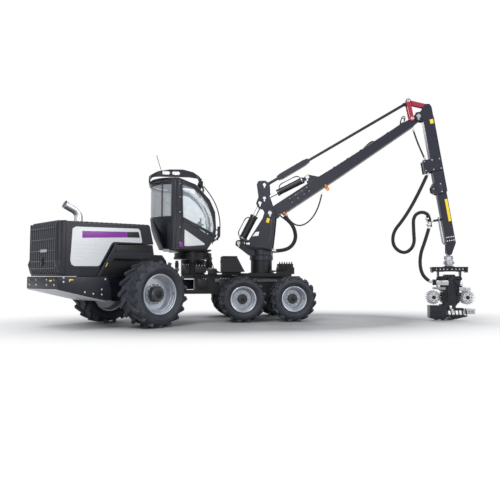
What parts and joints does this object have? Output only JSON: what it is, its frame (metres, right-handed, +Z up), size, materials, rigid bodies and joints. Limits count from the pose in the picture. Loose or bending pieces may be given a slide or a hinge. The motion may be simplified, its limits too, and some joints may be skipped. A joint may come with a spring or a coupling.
{
  "type": "wheeled forestry harvester",
  "caption": "Articulated forestry harvester on wheels with a turning cab, a folding parallel crane and a hanging felling head with feed rollers and saw.",
  "frame": {"origin": "centre of the stored pose on the ground", "axes": "+X forward along the front frame, +Y to its left, +Z up"},
  "size_m": [10.9865, 4.4036, 6.0019],
  "materials": {
    "castgrey": "satin",
    "chrome": "polished",
    "dark": "satin",
    "glass": "gloss",
    "hose": "matt",
    "lamp": "gloss",
    "light": "satin",
    "orange": "satin",
    "plastic": "matt",
    "red": "satin",
    "rim": "satin",
    "roller": "worn",
    "seat": "matt",
    "steel": "satin",
    "tyre": "matt",
    "zinc": "satin"
  },
  "bodies": {
    "front_frame": {"front_frame": "dark", "bogie_boxes": "dark"},
    "rear_module": {"rear_frame": "dark", "engine": "castgrey"},
    "hood": {"hood": "dark", "hood_panels": "light", "grille": "dark", "exhaust": "chrome"},
    "cab": {"cab_shell": "dark", "turntable": "dark", "roof_guard": "dark", "roof_lamps": "lamp", "window_right": "glass", "windscreen": "glass", "rear_window": "glass", "seat": "seat", "consoles": "plastic"},
    "door": {"door": "dark", "door_glass": "glass"},
    "crane_post": {"crane_post": "dark", "hose_post": "hose"},
    "rocker": {"rocker": "dark"},
    "lift_barrel": {"lift_barrel": "dark"},
    "lift_rod": {"lift_rod": "zinc"},
    "boom": {"boom": "dark", "lifting_eyes": "orange", "hose_boom": "hose", "hose_tip": "hose"},
    "fold_barrel": {"fold_barrel": "dark"},
    "fold_rod": {"fold_rod": "zinc"},
    "long_link": {"long_link": "dark"},
    "short_link": {"short_link": "red"},
    "upper_link": {"upper_link": "red"},
    "jib": {"jib": "dark", "hose_jib": "hose"},
    "extension": {"extension": "dark", "hose_head": "hose"},
    "tip_link": {"tip_link": "steel"},
    "rotator": {"rotator": "steel"},
    "head_yoke": {"head_yoke": "dark"},
    "head_frame": {"head_frame": "dark"},
    "feed_arm_left": {"feed_arm_left": "dark"},
    "feed_arm_right": {"feed_arm_right": "dark"},
    "feed_roller_left": {"feed_roller_left": "roller"},
    "feed_roller_right": {"feed_roller_right": "roller"},
    "knife_left": {"knife_left": "steel"},
    "knife_right": {"knife_right": "steel"},
    "saw_bar": {"saw_bar": "steel"},
    "wheel_bogie_rear_right": {"tyre_bogie_rear_right": "tyre", "rim_bogie_rear_right": "rim"},
    "wheel_bogie_front_right": {"tyre_bogie_front_right": "tyre", "rim_bogie_front_right": "rim"},
    "wheel_bogie_rear_left": {"tyre_bogie_rear_left": "tyre", "rim_bogie_rear_left": "rim"},
    "wheel_bogie_front_left": {"tyre_bogie_front_left": "tyre", "rim_bogie_front_left": "rim"},
    "wheel_rear_right": {"tyre_rear_right": "tyre", "rim_rear_right": "rim"},
    "wheel_rear_left": {"tyre_rear_left": "tyre", "rim_rear_left": "rim"}
  },
  "joints": [
    {"name": "frame_steer", "type": "hinge", "parent": "front_frame", "child": "rear_module", "pos_m": [-1.9023, 0.8548, 0.955], "axis": [0, 0, 1], "range_deg": [-78.6, 1.4]},
    {"name": "bogie_rear_right_spin", "type": "hinge", "parent": "front_frame", "child": "wheel_bogie_rear_right", "pos_m": [-0.5723, -0.1922, 0.585], "axis": [0, 1, 0], "continuous": true},
    {"name": "bogie_front_right_spin", "type": "hinge", "parent": "front_frame", "child": "wheel_bogie_front_right", "pos_m": [0.7587, -0.1922, 0.585], "axis": [0, 1, 0], "continuous": true},
    {"name": "bogie_rear_left_spin", "type": "hinge", "parent": "front_frame", "child": "wheel_bogie_rear_left", "pos_m": [-0.5723, 1.9018, 0.585], "axis": [0, 1, 0], "continuous": true},
    {"name": "bogie_front_left_spin", "type": "hinge", "parent": "front_frame", "child": "wheel_bogie_front_left", "pos_m": [0.7587, 1.9018, 0.585], "axis": [0, 1, 0], "continuous": true},
    {"name": "rear_right_spin", "type": "hinge", "parent": "rear_module", "child": "wheel_rear_right", "pos_m": [-2.79491, -1.16547, 0.76], "axis": [-0.6239, 0.7815, 0], "continuous": true},
    {"name": "rear_left_spin", "type": "hinge", "parent": "rear_module", "child": "wheel_rear_left", "pos_m": [-4.07012, 0.43196, 0.76], "axis": [-0.6239, 0.7815, 0], "continuous": true},
    {"name": "hood_tilt", "type": "hinge", "parent": "rear_module", "child": "hood", "pos_m": [-5.05026, -1.65819, 1.185], "axis": [0.6239, -0.7815, 0], "range_deg": [0, 50]},
    {"name": "cab_turn", "type": "hinge", "parent": "front_frame", "child": "cab", "pos_m": [-1.7823, 0.8548, 1.7], "axis": [0, 0, 1], "range_deg": [-45, 45]},
    {"name": "door_swing", "type": "hinge", "parent": "cab", "child": "door", "pos_m": [-2.2123, 1.6498, 2.8], "axis": [0, 0, 1], "range_deg": [0, 75]},
    {"name": "crane_slew", "type": "hinge", "parent": "front_frame", "child": "crane_post", "pos_m": [0.1477, 0.8548, 1.625], "axis": [0, 0, 1], "range_deg": [-95, 125]},
    {"name": "boom_lift", "type": "hinge", "parent": "crane_post", "child": "rocker", "pos_m": [0.41081, 0.75903, 2.948], "axis": [-0.342, -0.9397, 0], "range_deg": [-25, 15], "deforming": ["hose_post"]},
    {"name": "lift_cylinder_tilt", "type": "hinge", "parent": "crane_post", "child": "lift_barrel", "pos_m": [-0.43209, 1.06583, 2.11], "axis": [-0.342, -0.9397, 0], "range_deg": [-8, 8]},
    {"name": "lift_cylinder_slide", "type": "slide", "parent": "lift_barrel", "child": "lift_rod", "axis": [0.4403, -0.1603, 0.8834], "range_m": [-0.2, 0.25]},
    {"name": "boom_fold", "type": "hinge", "parent": "rocker", "child": "boom", "pos_m": [0.41081, 0.75903, 2.948], "axis": [-0.342, -0.9397, 0], "range_deg": [-40, 8], "deforming": ["hose_post"]},
    {"name": "fold_cylinder_tilt", "type": "hinge", "parent": "boom", "child": "fold_barrel", "pos_m": [1.38715, 0.40368, 3.948], "axis": [-0.342, -0.9397, 0], "range_deg": [-8, 8]},
    {"name": "fold_cylinder_slide", "type": "slide", "parent": "fold_barrel", "child": "fold_rod", "axis": [-0.85, 0.3094, -0.4264], "range_m": [-0.12, 0.4]},
    {"name": "long_link_swing", "type": "hinge", "parent": "rocker", "child": "long_link", "pos_m": [0.25577, 0.81547, 3.763], "axis": [-0.342, -0.9397, 0], "range_deg": [-50, 15]},
    {"name": "short_link_swing", "type": "hinge", "parent": "boom", "child": "short_link", "pos_m": [4.04939, -0.5653, 5.43705], "axis": [-0.342, -0.9397, 0], "range_deg": [-20, 90]},
    {"name": "jib_fold", "type": "hinge", "parent": "boom", "child": "jib", "pos_m": [4.21469, -0.62546, 5.513], "axis": [-0.342, -0.9397, 0], "range_deg": [-25, 100], "deforming": ["hose_tip"]},
    {"name": "upper_link_swing", "type": "hinge", "parent": "jib", "child": "upper_link", "pos_m": [4.4402, -0.70754, 5.77279], "axis": [-0.342, -0.9397, 0], "range_deg": [-50, 15]},
    {"name": "jib_extension", "type": "slide", "parent": "jib", "child": "extension", "axis": [0.1389, -0.0506, -0.989], "range_m": [-0.5, 1.1], "deforming": ["hose_jib"]},
    {"name": "head_swing", "type": "hinge", "parent": "extension", "child": "tip_link", "pos_m": [4.87435, -0.86556, 1.83], "axis": [-0.342, -0.9397, 0], "range_deg": [-75, 75], "deforming": ["hose_head"]},
    {"name": "head_cross_swing", "type": "hinge", "parent": "tip_link", "child": "rotator", "pos_m": [4.87435, -0.86556, 1.665], "axis": [0.9397, -0.342, 0], "range_deg": [-30, 30], "deforming": ["hose_head"]},
    {"name": "head_turn", "type": "hinge", "parent": "rotator", "child": "head_yoke", "pos_m": [4.87435, -0.86556, 1.45], "axis": [0, 0, 1], "range_deg": [-175, 175], "deforming": ["hose_head"]},
    {"name": "head_tilt", "type": "hinge", "parent": "head_yoke", "child": "head_frame", "pos_m": [4.87435, -0.86556, 1.11], "axis": [0.9397, -0.342, 0], "range_deg": [0, 90], "deforming": ["hose_head"]},
    {"name": "feed_arm_left_open", "type": "hinge", "parent": "head_frame", "child": "feed_arm_left", "pos_m": [4.87032, -0.64274, 0.62], "axis": [0, 0, 1], "range_deg": [-30, 0]},
    {"name": "feed_arm_right_open", "type": "hinge", "parent": "head_frame", "child": "feed_arm_right", "pos_m": [5.02067, -0.69747, 0.62], "axis": [0, 0, 1], "range_deg": [0, 30]},
    {"name": "feed_roller_left_spin", "type": "hinge", "parent": "feed_arm_left", "child": "feed_roller_left", "pos_m": [4.47968, -0.72191, 0.62], "axis": [0.342, 0.9397, 0], "continuous": true},
    {"name": "feed_roller_right_spin", "type": "hinge", "parent": "feed_arm_right", "child": "feed_roller_right", "pos_m": [5.26903, -1.00921, 0.62], "axis": [0.342, 0.9397, 0], "continuous": true},
    {"name": "knife_left_open", "type": "hinge", "parent": "head_frame", "child": "knife_left", "pos_m": [4.69541, -0.69934, 0.86], "axis": [0, 0, 1], "range_deg": [-22, 0]},
    {"name": "knife_right_open", "type": "hinge", "parent": "head_frame", "child": "knife_right", "pos_m": [5.11828, -0.85325, 0.86], "axis": [0, 0, 1], "range_deg": [0, 22]},
    {"name": "saw_swing", "type": "hinge", "parent": "head_frame", "child": "saw_bar", "pos_m": [4.45916, -0.77829, 0.062], "axis": [0, 0, 1], "range_deg": [0, 90]}
  ],
  "couplings": [
    {"joint": "lift_cylinder_tilt", "follows": "boom_lift", "ratio": 0.095},
    {"joint": "lift_cylinder_slide", "follows": "boom_lift", "m_per_rad": -0.4},
    {"joint": "fold_cylinder_tilt", "follows": "boom_fold", "ratio": -0.04},
    {"joint": "fold_cylinder_slide", "follows": "boom_fold", "m_per_rad": -0.455},
    {"joint": "long_link_swing", "follows": "boom_fold", "ratio": 1.03},
    {"joint": "short_link_swing", "follows": "boom_fold", "ratio": -1.72},
    {"joint": "jib_fold", "follows": "boom_fold", "ratio": -2.15},
    {"joint": "upper_link_swing", "follows": "boom_fold", "ratio": 0.88},
    {"joint": "feed_arm_right_open", "follows": "feed_arm_left_open", "ratio": -1},
    {"joint": "knife_right_open", "follows": "knife_left_open", "ratio": -1}
  ]
}
